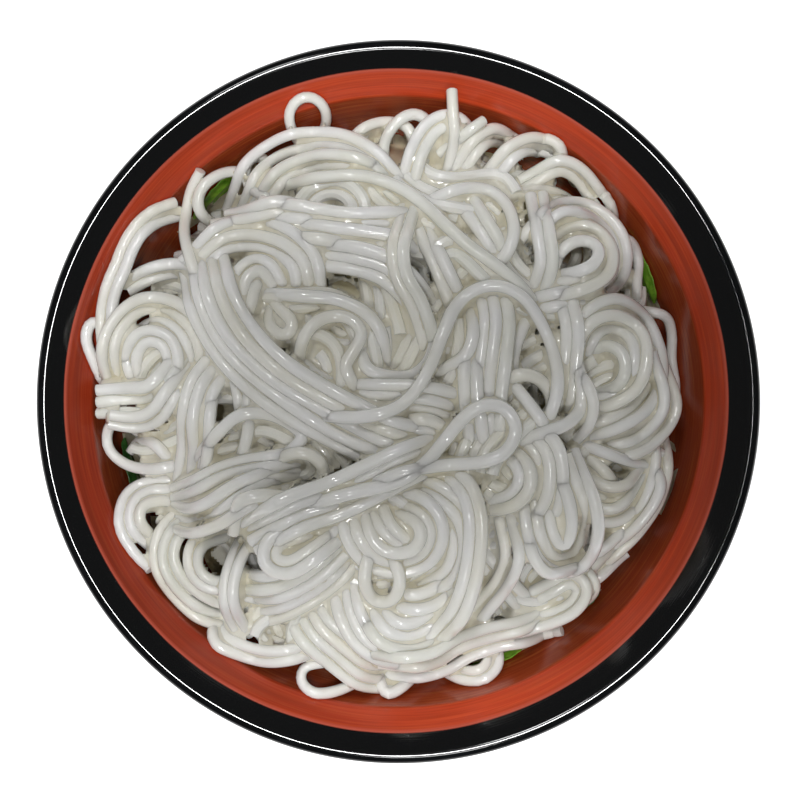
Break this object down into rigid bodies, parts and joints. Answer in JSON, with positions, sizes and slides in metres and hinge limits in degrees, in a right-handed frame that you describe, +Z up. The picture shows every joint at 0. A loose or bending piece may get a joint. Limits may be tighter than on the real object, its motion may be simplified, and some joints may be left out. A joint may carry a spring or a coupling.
{
  "type": "bowl of cooked rice noodles",
  "caption": "Heaped cooked white rice noodles on slivers of cut greens, in a round black-lipped noodle bowl with a flared, hand-brushed red inside.",
  "frame": {"origin": "centre of the underside of the foot ring, which stands on the table", "axes": "+Z up out of the bowl's mouth, +X to the right of the bowl as it is looked down on, +Y away from the person eating"},
  "size_m": [0.21, 0.21, 0.0993],
  "materials": {
    "bowl_glaze": "gloss black glaze, brushed red inside the lip",
    "rice_noodle": "wet, slightly translucent cooked rice starch",
    "cut_green": "wet blanched leaf and stem"
  },
  "bodies": {
    "root": {"bowl": "bowl_glaze", "noodles": "rice_noodle", "green_1": "cut_green", "green_2": "cut_green", "green_3": "cut_green", "green_4": "cut_green", "green_5": "cut_green", "green_6": "cut_green"}
  },
  "joints": []
}
